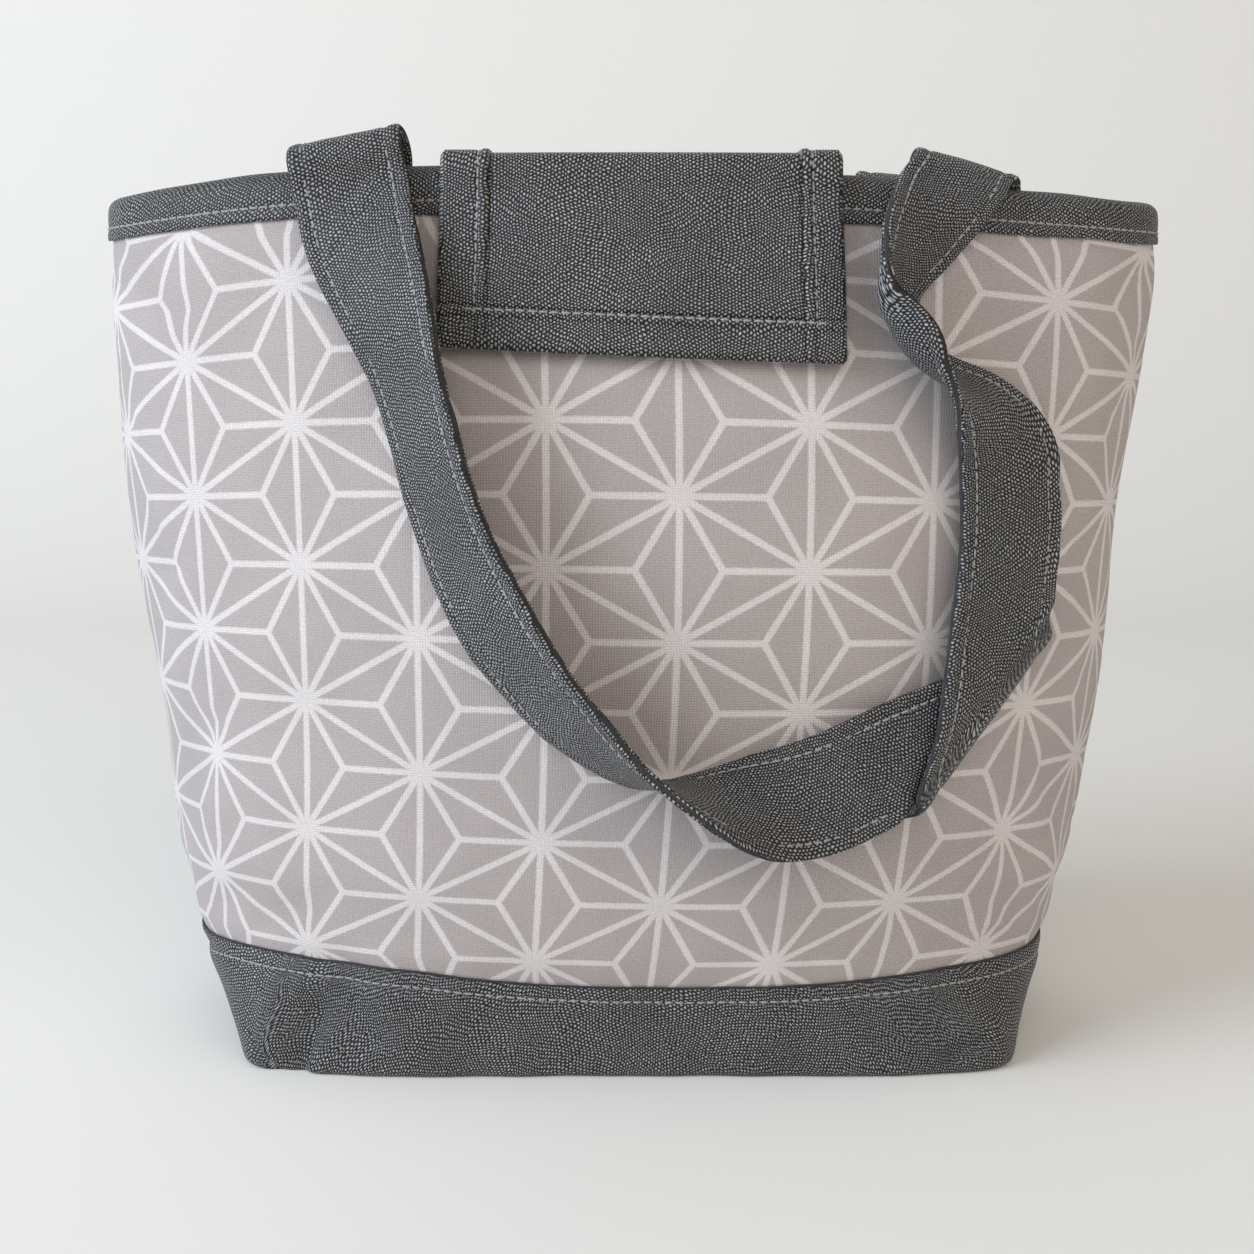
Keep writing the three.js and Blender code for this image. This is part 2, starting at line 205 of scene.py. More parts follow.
def wall(side, angle, level, out, even=False):
    """Points of the wall at a plan angle, 0 at the bag's right seam and half a turn at its left."""
    along, away = np.cos(angle), np.sin(angle)
    power = smooth_curve(level, SQUARENESS)
    width, depth = half_width(along, level), smooth_curve(level, HALF_DEPTH)
    if not even:
        near = reach(along, away, width, depth, power)
        out = out + relief(side, near * along, near * away, level)
    far = reach(along, away, width + out, depth + out, power)
    return placed(side, far * along, far * away, level)


def wall_at(side, x, level, out=0):
    """Points of the wall at a distance x from the middle plane."""
    power = smooth_curve(level, SQUARENESS)
    width, depth = half_width(x, level), smooth_curve(level, HALF_DEPTH)
    even = depth * (1 - np.clip(np.abs(x) / width, 0, 1) ** power) ** (1 / power)
    out = out + relief(side, x, even, level)
    share = np.clip(np.abs(x) / (width + out), 0, 1)
    return placed(side, x, (depth + out) * (1 - share**power) ** (1 / power), level)


def even_angles(count, level, out=0):
    """Plan angles that divide a half of the outline at a level into equal lengths."""
    angles = np.linspace(0, math.pi, 721)
    points = wall(FRONT, angles, level, out, even=True)
    run = np.concatenate([[0], np.cumsum(np.linalg.norm(np.diff(points[:, :2], axis=0), axis=1))])
    return np.interp(np.linspace(0, run[-1], count), run, angles)


def crease(x, z, start, end, widths, depth):
    """A valley along a line, with its own width on its left and on its right side."""
    start, end = np.array(start, float), np.array(end, float)
    length = np.linalg.norm(end - start)
    line = (end - start) / length
    dx, dz = x - start[0], z - start[1]
    along = (dx * line[0] + dz * line[1]) / length
    across = dx * line[1] - dz * line[0]
    spread = np.where(across < 0, widths[0], widths[1])
    fade = smooth_step(-0.35, 0.25, along) * (1 - smooth_step(0.85, 1.25, along))
    return -depth * fade * hill(across, spread)


def swell(x, z, middle, spread, rise):
    return rise * hill(x - middle[0], spread[0]) * hill(z - middle[1], spread[1])


def relief(side, x, depth, level):
    """How far the cloth stands out from the even wall: soft swells, seams, and folds at the base corners."""
    z = sunk(x, level)
    faced = smooth_step(2, 30, depth)
    low = 1 - smooth_step(8, 60, z)
    out = 0.5 * waves(x, z * 0.6, 75, 3 + side) + 0.35 * low * waves(x, z, 26, 11 + side)
    if side == FRONT:
        out = out + sum(crease(x, z, *fold) for fold in CREASES) + sum(swell(x, z, *fold) for fold in SWELLS)
    corner = 1.6 * hill(np.abs(x) - 111, 7) * hill(z, 7)
    line = smooth_curve(x, BAND_LINE)
    pinch = -1.6 * hill(z - line + 1.2, 3.8)
    seam = -0.8 * hill(depth, 2.5) * smooth_step(-2, 6, z - line)
    return out * faced + corner + pinch + seam + settled(side, x, depth, level)


# How far each simulated panel has moved off its wall, by side: angles, levels and a grid of distances
SETTLED = {}


def settled(side, x, depth, level):
    """The panel's own movement off the wall, once it has been simulated."""
    if side not in SETTLED:
        return 0.0
    angles, levels, moved = SETTLED[side]
    row = np.clip((level - levels[0]) / (levels[1] - levels[0]), 0, len(levels) - 1.001)
    column = np.clip(np.arctan2(depth, x) / (angles[1] - angles[0]), 0, len(angles) - 1.001)
    row, column = np.broadcast_arrays(row, column)
    i, j = row.astype(int), column.astype(int)
    a, b = row - i, column - j
    low = moved[i, j] * (1 - b) + moved[i, j + 1] * b
    high = moved[i + 1, j] * (1 - b) + moved[i + 1, j + 1] * b
    return low * (1 - a) + high * a


# Meshes

def placed_object(name, data):
    made = bpy.data.objects.new(name, data)
    bpy.context.scene.collection.objects.link(made)
    return made


def finish_mesh(name, points, faces, uv, material, slot_name):
    mesh = bpy.data.meshes.new(name)
    mesh.from_pydata((np.asarray(points) * MM).tolist(), [], faces)
    layer = mesh.uv_layers.new(name="cloth")
    layer.data.foreach_set("uv", np.asarray(uv, np.float32).ravel())
    mesh.materials.append(material)
    made = bmesh.new()
    made.from_mesh(mesh)
    bmesh.ops.remove_doubles(made, verts=made.verts, dist=1e-7)
    bmesh.ops.recalc_face_normals(made, faces=made.faces)
    made.to_mesh(mesh)
    made.free()
    mesh.shade_smooth()
    for face in mesh.polygons:
        # end caps stay flat, so that they don't shade the surface beside them
        face.use_smooth = len(face.vertices) <= 4
    piece = placed_object(name, mesh)
    return piece


def on_body(piece, *nodes):
    """Lets a piece stay with the bag's body, in place of these nodes."""
    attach(piece, "bag_body")
    if nodes:
        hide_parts(*nodes)


def closed(points):
    """A ring's points, with the first one once more at the end."""
    return np.concatenate([points, points[:1]])


def grid_quads(rows, columns, row_ring, column_ring):
    """Quads of a grid of points, and the grid place of each of their corners."""
    i, j = np.indices((rows - (not row_ring), columns - (not column_ring))).reshape(2, -1)
    corners = [(i, j), (i + 1, j), (i + 1, j + 1), (i, j + 1)]
    faces = np.stack([(a % rows) * columns + b % columns for a, b in corners], 1)
    places = np.stack([np.stack([a, b], 1) for a, b in corners], 1).reshape(-1, 2)
    return faces.tolist(), places


def tube(name, sections, uv, material, slot_name, ring=False):
    """A closed body through closed sections [station, point, xyz], with uv [station, point, 2]."""
    rows, columns = sections.shape[:2]
    faces, places = grid_quads(rows, columns, ring, True)
    wide = closed(np.concatenate([uv, uv[:, :1]], 1))
    coordinates = wide[places[:, 0], places[:, 1]]
    if not ring:
        faces += [list(range(columns)), list(range((rows - 1) * columns, rows * columns))]
        coordinates = np.concatenate([coordinates, uv[0], uv[-1]])
    return finish_mesh(name, sections.reshape(-1, 3), faces, coordinates, material, slot_name)


def edge_point(before, outer, inner):
    """The middle of a sheet's edge, swollen outwards by less than half of the sheet's thickness."""
    thickness = np.linalg.norm(outer - inner, axis=-1, keepdims=True)
    return (outer + inner) / 2 + unit(outer - before) * thickness * 0.4


def sheet(name, outer, inner, uv, material, slot_name):
    """A sheet of cloth between two faces [station, point, xyz], with rounded long edges."""
    right = edge_point(outer[:, -2], outer[:, -1], inner[:, -1])
    left = edge_point(outer[:, 1], outer[:, 0], inner[:, 0])
    sections = np.concatenate([outer, right[:, None], inner[:, ::-1], left[:, None]], 1)
    coordinates = np.concatenate([uv, uv[:, -1:], uv[:, ::-1], uv[:, :1]], 1)
    return tube(name, sections, coordinates, material, slot_name)


def runs(points, axis):
    """Lengths along one axis of a grid of points."""
    steps = np.linalg.norm(np.diff(points, axis=axis), axis=-1)
    return np.concatenate([np.zeros_like(np.take(steps, [0], axis)), np.cumsum(steps, axis)], axis)


# A stitch from end to end: (share of the pitch, height over the cloth, thickness). It is a little flat.
STITCH = np.array([
    (-0.43, -0.45, 0.14), (-0.32, 0.0, 0.24), (0, 0.12, 0.28), (0.32, 0.0, 0.24), (0.43, -0.45, 0.14)
])
STITCH_FLATNESS = 1.25
STITCH_SIDES = 6


def stitches(name, path, normals):
    """A row of thread stitches on a path over the cloth, each of which dips into it at its ends."""
    at = runs(path[None], 1)[0]
    count = max(1, int(at[-1] / STITCH_PITCH))
    where = (np.arange(count)[:, None] + 0.5 + STITCH[:, 0]) * at[-1] / count

    normal = sample(normals, at, where)
    beside = unit(np.cross(sample(path, at, where + 0.3) - sample(path, at, where - 0.3), normal))
    middle = sample(path, at, where) + normal * STITCH[:, 1, None]
    turns = np.arange(STITCH_SIDES)[:, None] * 2 * math.pi / STITCH_SIDES
    rim = STITCH_FLATNESS * np.cos(turns) * beside[:, :, None] + np.sin(turns) * normal[:, :, None]
    points = (middle[:, :, None] + STITCH[:, 2, None, None] * rim).reshape(-1, 3)
    faces, _ = grid_quads(len(STITCH), STITCH_SIDES, False, True)
    size = len(STITCH) * STITCH_SIDES
    faces += [list(range(STITCH_SIDES)), list(range(size - STITCH_SIDES, size))]
    every = [[k * size + c for c in face] for k in range(count) for face in faces]
    corners = sum(len(face) for face in every)
    return finish_mesh(name, points, every, np.zeros((corners, 2)), THREAD, "canvas")


# Materials

class Nodes:
    """Short calls for a material's nodes."""

    def __init__(self, name, roughness, sheen, specular=0.25):
        self.material = bpy.data.materials.new(name)
        self.material.use_nodes = True
        self.tree = self.material.node_tree
        self.shader = self.tree.nodes["Principled BSDF"]
        looks = {"Roughness": roughness, "Sheen Weight": sheen, "Specular IOR Level": specular}
        for key, value in (looks | {"Sheen Roughness": 0.5}).items():
            self.shader.inputs[key].default_value = value

    def put(self, socket, value):
        if isinstance(value, bpy.types.NodeSocket):
            self.tree.links.new(value, socket)
        else:
            socket.default_value = value

    def new(self, kind, *values, **settings):
        """A new node with its first inputs set or linked."""
        node = self.tree.nodes.new(kind)
        for key, value in settings.items():
            setattr(node, key, value)
        for socket, value in zip(node.inputs, values):
            self.put(socket, value)
        return node

    def math(self, operation, *values):
        return self.new("ShaderNodeMath", *values, operation=operation).outputs[0]

    def vector(self, operation, *values):
        node = self.new("ShaderNodeVectorMath", *values, operation=operation)
        return node.outputs["Value" if operation in ("LENGTH", "DOT_PRODUCT") else "Vector"]

    def scaled(self, vector, factor):
        node = self.new("ShaderNodeVectorMath", vector, operation="SCALE")
        self.put(node.inputs["Scale"], factor)
        return node.outputs["Vector"]

    def split(self, vector):
        return self.new("ShaderNodeSeparateXYZ", vector).outputs[:2]

    def cloth(self):
        return self.new("ShaderNodeUVMap", uv_map="cloth").outputs[0]

    def noise(self, vector, scale, detail=2.0, colour=False):
        node = self.new("ShaderNodeTexNoise", vector)
        node.inputs["Scale"].default_value = scale
        node.inputs["Detail"].default_value = detail
        return node.outputs["Color" if colour else "Fac"]

    def ramp(self, value, low, high, start=0.0, end=1.0):
        values = (value, low, high, start, end)
        return self.new("ShaderNodeMapRange", *values, interpolation_type="SMOOTHSTEP").outputs[0]

    def mix(self, share, first, second):
        node = self.new("ShaderNodeMix", share, data_type="RGBA")
        self.put(node.inputs[6], (*first, 1))
        self.put(node.inputs[7], (*second, 1))
        return node.outputs[2]

    def finish(self, colour, height, depth):
        """The material with its colour, and a relief as deep as a number of millimetres."""
        self.put(self.shader.inputs["Base Color"], colour)
        bump = self.new("ShaderNodeBump", 1.0, depth * MM)
        self.put(bump.inputs["Height"], height)
        self.put(self.shader.inputs["Normal"], bump.outputs[0])
        return self.material


def weave(n, place, pitch, wander):
    """The rise of a plain weave's threads, in a slightly uneven grid."""
    shake = n.scaled(n.noise(place, 0.5 / pitch, 1.0, colour=True), wander)
    x, y = n.split(n.scaled(n.vector("ADD", place, shake), math.pi / pitch))
    return n.math("MULTIPLY", n.math("ABSOLUTE", n.math("SINE", x)), n.math("ABSOLUTE", n.math("SINE", y)))


def pebbles(n, place, pitch):
    """The rise of a coarse canvas: rounded knots of thread, closely packed. Three waves meet at each knot."""
    total = 0.0
    pace = 2 * math.pi / (pitch * math.cos(math.pi / 6))
    for turn in (0, math.pi / 3, 2 * math.pi / 3):
        along = n.vector("DOT_PRODUCT", place, (pace * math.cos(turn), pace * math.sin(turn), 0))
        total = n.math("ADD", total, n.math("COSINE", along))
    return n.ramp(total, -1.1, 2.4)


KNOT_PITCH = 1.05
# The canvas's colour follows the rise of its knots, as the bump does: near black in the gaps between knots,
# which is painted shade, and light on the knot tops, which is partly the canvas's own grey and partly a
# painted highlight.
CANVAS_GAP_AND_PAINTED_SHADE = (0.004, 0.004, 0.005)
CANVAS_KNOT_AND_PAINTED_HIGHLIGHT = (0.44, 0.44, 0.445)


def canvas_material():
    n = Nodes("canvas", 0.5, 0.06, 0.3)
    place = n.cloth()
    swirl = n.scaled(n.noise(place, 0.05, 1.0, colour=True), 6.0)
    shake = n.scaled(n.noise(place, 0.45, 2.0, colour=True), 1.3)
    rise = pebbles(n, n.vector("ADD", n.vector("ADD", place, swirl), shake), KNOT_PITCH)
    fleck = n.ramp(n.noise(place, 0.9, 2.0), 0.25, 0.75, 0.6, 1.15)
    # painted shade in the gaps and a painted highlight on the knot tops, by the knots' rise
    cloth = n.mix(n.math("MULTIPLY", rise, fleck), CANVAS_GAP_AND_PAINTED_SHADE, CANVAS_KNOT_AND_PAINTED_HIGHLIGHT)
    worn = n.ramp(n.noise(place, 0.035, 3.0), 0.3, 0.7, 0.9, 1.1)
    return n.finish(n.scaled(cloth, worn), rise, 0.45)


# The printed star lattice: the side of its triangles and the width of its lines
LATTICE_SIDE = 40.5
LINE_WIDTH = 1.95
PRINT_GROUND = (0.41, 0.365, 0.358)
PRINT_LINES = (0.65, 0.605, 0.6)


def lattice_distance(n, place):
    """The distance to the nearest line of the star lattice: six-pointed stars on a triangular grid."""
    high = (math.sqrt(3) / 2 * LATTICE_SIDE, LATTICE_SIDE / 2, 0.5)
    low = tuple(-c for c in high)
    first = n.vector("WRAP", place, high, low)
    second = n.vector("WRAP", n.vector("ADD", place, (*high[:2], 0)), high, low)
    nearer = n.math("LESS_THAN", n.vector("LENGTH", first), n.vector("LENGTH", second))
    chosen = n.new("ShaderNodeMix", nearer, data_type="VECTOR")
    n.put(chosen.inputs[4], second)
    n.put(chosen.inputs[5], first)
    folded = n.vector("ABSOLUTE", chosen.outputs[1])
    distance = n.math("MINIMUM", *n.split(folded))
    for turn in (math.pi / 6, math.pi / 3):
        off = n.vector("DOT_PRODUCT", folded, (math.sin(turn), -math.cos(turn), 0))
        distance = n.math("MINIMUM", distance, n.math("ABSOLUTE", off))
    return distance


def print_material():
    n = Nodes("print", 0.9, 0.15)
    place = n.cloth()
    rough = n.vector("SUBTRACT", n.noise(place, 1.1, 2.0, colour=True), (0.5, 0.5, 0.5))
    ragged = n.vector("ADD", place, n.scaled(rough, 0.5))
    flat = n.vector("MULTIPLY", ragged, (1, 1, 0))
    distance = lattice_distance(n, flat)
    line = n.ramp(distance, LINE_WIDTH / 2 - 0.35, LINE_WIDTH / 2 + 0.3, 1.0, 0.0)
    cloth = n.mix(line, PRINT_GROUND, PRINT_LINES)
    threads = weave(n, place, 0.75, 0.5)
    fleck = n.noise(place, 1.6, 3.0)
    # a little darker between the threads and lighter on their tops, by the weave's rise as in the bump:
    # painted shade and highlight of the weave; the flecks are the cloth's own uneven tone
    tone = n.math("MULTIPLY", n.ramp(threads, 0, 1, 0.9, 1.06), n.ramp(fleck, 0.25, 0.75, 0.9, 1.1))
    cloud = n.ramp(n.noise(place, 0.03, 2.0), 0.3, 0.7, 0.96, 1.04)
    return n.finish(n.scaled(cloth, n.math("MULTIPLY", tone, cloud)), threads, 0.12)


def plain_material(name, colour, roughness, pitch, depth):
    n = Nodes(name, roughness, 0.1)
    place = n.new("ShaderNodeTexCoord").outputs["Object"]
    speckle = n.noise(place, 1 / (pitch * MM), 3.0)
    tone = n.ramp(speckle, 0.25, 0.75, 0.88, 1.1)
    return n.finish(n.scaled(colour, tone), speckle, depth)


CANVAS_CLOTH = canvas_material()
PRINT = print_material()
THREAD = plain_material("thread", (0.3, 0.3, 0.305), 0.7, 0.4, 0.1)
FOAM = plain_material("foam", (0.6, 0.6, 0.58), 0.95, 1.5, 0.3)
LINING_CLOTH = plain_material("lining", (0.5, 0.51, 0.52), 0.55, 1.0, 0.1)
# painted shade: near-black cloth for a bead that stands for the shadow line along the top of the base band
SHADE_LINE_CLOTH = plain_material("painted shade line", (0.035, 0.035, 0.038), 0.9, 0.5, 0.1)
CLOSURE = plain_material("closure", (0.03, 0.03, 0.033), 0.95, 0.7, 0.5)
BOARD = plain_material("board", (0.45, 0.44, 0.42), 0.8, 2.0, 0.1)


# The printed panels, the padding and the lining

# Where the wall's points lie in the print's lattice: powers of the run from the middle and of the level, and
# the weights of their products in the lattice's two directions
LATTICE_POWERS = [(0, 0), (0, 1), (0, 2), (0, 3), (1, 0), (1, 1), (1, 2), (2, 0), (2, 1), (3, 0)]
LATTICE_U = [-12.63, -1.57, 3.18, -0.64, 99.94, -3.39, 1.8, -0.52, -0.68, -0.01]
LATTICE_V = [-30.79, 103.67, -2.36, 1.42, 1.01, -0.94, 0.19, 1.89, 1.0, -0.09]
LATTICE_LEVEL = 140
LATTICE_UNIT = 100

# The plan angle that stays open at each side seam between the layers of the two walls
SEAM_GAP = 0.003


def lattice_place(run, level):
    run, level = run / LATTICE_UNIT, (level - LATTICE_LEVEL) / LATTICE_UNIT
    terms = np.stack([run**a * level**b for a, b in LATTICE_POWERS], -1)
    return terms @ np.array([LATTICE_U, LATTICE_V]).T


def wall_layer(name, node, side, face, thickness, foot, grid, material, slot_name):
    """A layer of a wall from its foot to the binding, its outer face at a distance inside the wall's."""
    columns, rows = grid
    levels = np.linspace(foot, LAYER_TOP, rows)
    angles = np.stack([even_angles(columns, level, -face) for level in levels], 1)
    angles = SEAM_GAP + (math.pi - 2 * SEAM_GAP) * angles / math.pi
    outer = wall(side, angles, levels, -face)
    inner = wall(side, angles, levels, -face - thickness)
    plain = wall(side, angles, levels, -face, even=True) * (1, 1, 0)
    run = runs(plain, 0)
    run = np.array([np.interp(0, -plain[:, r, 0], run[:, r]) for r in range(rows)]) - run
    printed = slot_name == "print"
    uv = lattice_place(-side * run, levels) if printed else np.stack(np.broadcast_arrays(run, levels), -1)
    piece = sheet(name, outer, inner, uv, material, slot_name)
    on_body(piece, node)
    return piece


# The layers, as (name, node, outer face, thickness, foot, grid of points, material, slot)
WALL_LAYERS = [
    ("print", "panel", PRINT_FACE, PRINT_CLOTH, PANEL_FOOT, (150, 110), PRINT, "print"),
    ("padding", "foam", FOAM_FACE, WALL_FOAM, PADDING_FOOT, (60, 40), FOAM, "foam"),
    ("inside", "lining", LINING_FACE, LINING, INSIDE_FOOT, (110, 80), LINING_CLOTH, "lining"),
]


def body_walls():
    for name, side in (("front", FRONT), ("back", BACK)):
        for layer, node, *build in WALL_LAYERS:
            piece = wall_layer(f"{name}_{layer}", f"{name}_{node}", side, *build)


# How the padded panels settle

SETTLE_FRAMES = 20
SETTLE_LEVELS = (34, 243)
SETTLE_GRID = (97, 57)
SETTLE_LIMIT = 1.0
SETTLE_CLOTH = {
    "vertex_group_mass": "held", "quality": 6, "mass": 0.2, "tension_stiffness": 20,
    "compression_stiffness": 20, "bending_stiffness": 1.5, "shrink_min": -0.012,
    "use_pressure": True, "uniform_pressure_force": 4,
}


def settle(side):
    """Lets a panel's cloth settle: held at its seams, a little slack, and pressed out by its padding."""
    angles = np.linspace(0, math.pi, SETTLE_GRID[0])
    levels = np.linspace(*SETTLE_LEVELS, SETTLE_GRID[1])
    points = wall(side, angles[None], levels[:, None], 0)
    faces, _ = grid_quads(len(levels), len(angles), False, False)
    mesh = bpy.data.meshes.new("settling")
    mesh.from_pydata((points.reshape(-1, 3) * MM).tolist(), [], [face[::-side] for face in faces])
    cloth_piece = placed_object("settling", mesh)
    inside = np.zeros((len(levels), len(angles)), bool)
    inside[1:-1, 1:-1] = True
    held = cloth_piece.vertex_groups.new(name="held")
    held.add(np.flatnonzero(~inside.ravel()).tolist(), 1.0, "REPLACE")
    cloth = cloth_piece.modifiers.new("settle", "CLOTH")
    for key, value in SETTLE_CLOTH.items():
        setattr(cloth.settings, key, value)
    cloth.settings.effector_weights.gravity = 0
    cloth.point_cache.frame_start = 1
    cloth.point_cache.frame_end = SETTLE_FRAMES
    for frame_number in range(1, SETTLE_FRAMES + 1):
        bpy.context.scene.frame_set(frame_number)
    evaluated = cloth_piece.evaluated_get(bpy.context.evaluated_depsgraph_get())
    flat = np.empty(3 * len(mesh.vertices), np.float32)
    evaluated.data.vertices.foreach_get("co", flat)
    normal = unit(np.cross(np.gradient(points, axis=1), np.gradient(points, axis=0)))
    normal *= np.sign(normal[..., 1:2] * side + 1e-9)
    off = np.sum((flat.reshape(points.shape) / MM - points) * normal, -1)
    SETTLED[side] = (angles, levels, SETTLE_LIMIT * np.tanh(off / SETTLE_LIMIT))
    bpy.data.objects.remove(cloth_piece)
    bpy.context.scene.frame_set(1)


# Rings round the bag, and how many stations each has on a half of it

BAND_STATIONS, BINDING_STATIONS, FLOOR_STATIONS = 520, 300, 120


def ring_angles(count, level):
    """Sides and plan angles of stations all round the bag."""
    half = even_angles(count + 1, level)
    sides = np.concatenate([np.full(count, FRONT), np.full(count, BACK)])
    return sides, np.concatenate([half[:-1], half[::-1][:-1]])


def ring_wall(sides, angles, level, out):
    level = np.broadcast_to(level, angles.shape)
    front = wall(FRONT, angles, level, out)
    back = wall(BACK, angles, level, out)
    return np.where((sides == FRONT)[..., None], front, back)


def ring_stitches(name, sides, angles, level, out, beneath):
    """A row of stitches round the bag at a level, on a face and square to another one beneath it."""
    path = ring_wall(sides, angles, level, out)
    normals = unit(path - ring_wall(sides, angles, level, beneath))
    on_body(stitches(name, closed(path), closed(normals)))


# Rows of points on the base band below its upper edge, closer together at its stitches and at its fold, and
# round its foot; the radius of the dark bead of painted shade along its upper edge, and how far inside the
# wall's face its inner corner lies
BAND_ROWS = (7.2, 6.4, 5.6, 5, 4.6, 4.3, 4, 3.7, 3.4, 2.9, 2.3, 1.7, 1.1, 0.6, 0.25, 0.05)
BAND_FOOT_ROWS = 5
SHADE_BEAD_RADIUS = 0.42
BAND_SEAT = CANVAS + 1.5


def band_roll(below):
    """The band's relief at a distance below its upper edge: a valley at the stitches, and a roll above."""
    valley = -0.4 * hill(below - BAND_STITCH_DROP, 0.7)
    return valley + 0.4 * math.sin(math.pi * min(1, below / BAND_STITCH_DROP)) - 0.5 * math.exp(-below / 0.25)


def ring_uv(points, row):
    """Places on the cloth of a grid of points round the bag: the run along one row, and up each station."""
    along = runs(closed(points)[:, row : row + 1], 0)
    return np.stack(np.broadcast_arrays(along, closed(runs(points, 1))), -1)


def ring_sheet(name, node, points, uv, material, slot_name):
    """A body from a grid of points round the bag, from the middle below it to the middle above it."""
    faces, places = grid_quads(*points.shape[:2], True, False)
    uv = uv[places[:, 0], places[:, 1]]
    on_body(finish_mesh(name, points.reshape(-1, 3), faces, uv, material, slot_name), node)


def band_rows(line, pucker):
    """The band's rows as (level, distance out): round its foot, up its outside and down its inside."""
    turns = np.linspace(0, math.pi / 2, BAND_FOOT_ROWS)
    rows = [(BAND_FOOT * (1 - math.cos(turn)), -BAND_FOOT * (1 - math.sin(turn))) for turn in turns]
    tall = line - BAND_STITCH_DROP - 4 - BAND_FOOT
    rows += [(BAND_FOOT + tall * share, 0) for share in np.linspace(0.04, 1, 30)]
    for below in BAND_ROWS:
        rows.append((line - below, band_roll(below) + pucker * hill(below - BAND_STITCH_DROP, 2.5)))
    rows.append((line + 0.1, -0.9))
    for share in np.linspace(0.995, 0.12, 14):
        rows.append((BAND_FOOT + (line - BAND_FOOT) * share, -CANVAS - 0.15))
    return rows + [(CANVAS + 0.2, -BAND_SEAT)]


def band_shade_bead(sides, angles, line):
    """A dark bead round the band's upper line: painted shade, standing for the shadow line where the band's
    fold tucks under the print.
    """
    turns = np.linspace(0, 2 * math.pi, 8, endpoint=False)
    spots = SHADE_BEAD_RADIUS * np.stack([np.cos(turns), np.sin(turns)], 1) + (-0.75, 0.2)
    bead = np.stack([ring_wall(sides, angles, line + rise, out) for out, rise in spots], 1)
    on_body(tube("band_shade_bead", bead, np.zeros((*bead.shape[:2], 2)), SHADE_LINE_CLOTH, "canvas", ring=True))


def base_band():
    """The canvas base: a flat underside, a rounded foot, a band with a folded edge, and its inner face."""
    sides, angles = ring_angles(BAND_STATIONS, 15)
    line = smooth_curve(ring_wall(sides, angles, 15, 0)[:, 0], BAND_LINE)
    pucker = 0.16 * waves(np.arange(len(angles)) * 0.8, 0, 9, 21)
    lie = ring_wall(sides, angles, 0, -BAND_FOOT)
    seat = ring_wall(sides, angles, 0, -BAND_SEAT)
    shares = np.linspace(0, 1, 12)[:-1]
    grid = [lie * (share, share, 0) for share in shares]
    grid += [ring_wall(sides, angles, *row) for row in band_rows(line, pucker)]
    grid += [seat * (share, share, 0) + (0, 0, CANVAS) for share in shares[::-1]]
    points = np.stack(grid, 1)
    uv = ring_uv(points, len(shares) + BAND_FOOT_ROWS)
    ring_sheet("base_band", "base_cover", points, uv, CANVAS_CLOTH, "canvas")
    level = smooth_curve(ring_wall(sides, angles, 25, 0)[:, 0], BAND_LINE) - BAND_STITCH_DROP
    ring_stitches("band_stitches", sides, angles, level, -0.3, -3)
    # a dark bead of painted shade along the band's upper line
    band_shade_bead(sides, angles, line)


def binding_section():
    """The binding's section as (distance out of the wall, rise over its lower edge), all round it."""
    half, shoulder = INSIDE_FACE / 2, BINDING_HEIGHT - BINDING_CROWN
    section = [(-0.15, -0.1), (0.12, 0.5), (0.15, 2), (0.0, 3), (-0.2, 3.6), (0.0, 4.4), (0.1, 6), (0.1, 8)]
    for turn in np.linspace(0, math.pi, 11):
        section.append((half * (math.cos(turn) - 1), shoulder + BINDING_CROWN * math.sin(turn)))
    section += [(-8.5, 6), (-8.4, 3.6), (-8.6, 2), (-8.5, 0.2), (-8.0, -0.1), (-7.5, 0.3), (-7.4, 5)]
    section += [(-7.3, shoulder - 1), (-half, BINDING_HEIGHT - CANVAS - 0.2), (-1.1, shoulder - 1)]
    return section + [(-1.05, 5), (-1.0, 0.3)]


def rim_binding():
    """Canvas folded over the rim, with a row of stitches on its outside and one on its inside."""
    sides, angles = ring_angles(BINDING_STATIONS, BODY_HEIGHT)
    low = BODY_HEIGHT - BINDING_HEIGHT
    spots = np.arange(len(angles)) * 1.15
    ripple = 0.25 * waves(spots, 0, 30, 33)
    pucker = 0.13 * waves(spots, 0, 8, 31)
    grid = []
    for out, rise in binding_section():
        grid.append(ring_wall(sides, angles, low + rise + ripple, out + pucker * hill(rise - 3.5, 3)))
    points = np.stack(grid, 1)
    piece = tube("binding", points, ring_uv(points, 4)[:-1], CANVAS_CLOTH, "canvas", ring=True)
    on_body(piece, "rim_binding")
    level = low + BINDING_STITCH_RISE
    ring_stitches("binding_stitches", sides, angles, level, -0.1, -3)
    ring_stitches("binding_inner_stitches", sides, angles, level, -8.4, -6)


def seam_tape(name, node, side_angle):
    """A canvas tape over a side seam on the inside, from the floor to the binding."""
    levels = np.linspace(TAPE_FOOT, RIM_LEVEL, 60)
    levels, offsets = np.meshgrid(levels, np.linspace(-TAPE_HALF_ANGLE, TAPE_HALF_ANGLE, 9), indexing="ij")
    sides, angles = np.where(offsets < 0, FRONT, BACK), np.abs(side_angle - np.abs(offsets))
    outer, inner = (ring_wall(sides, angles, levels, -TAPE_FACE - deep) for deep in (TAPE_CLOTH, 0))
    piece = sheet(name, outer, inner, np.stack([runs(inner, 1), levels], -1), CANVAS_CLOTH, "canvas")
    on_body(piece, node)


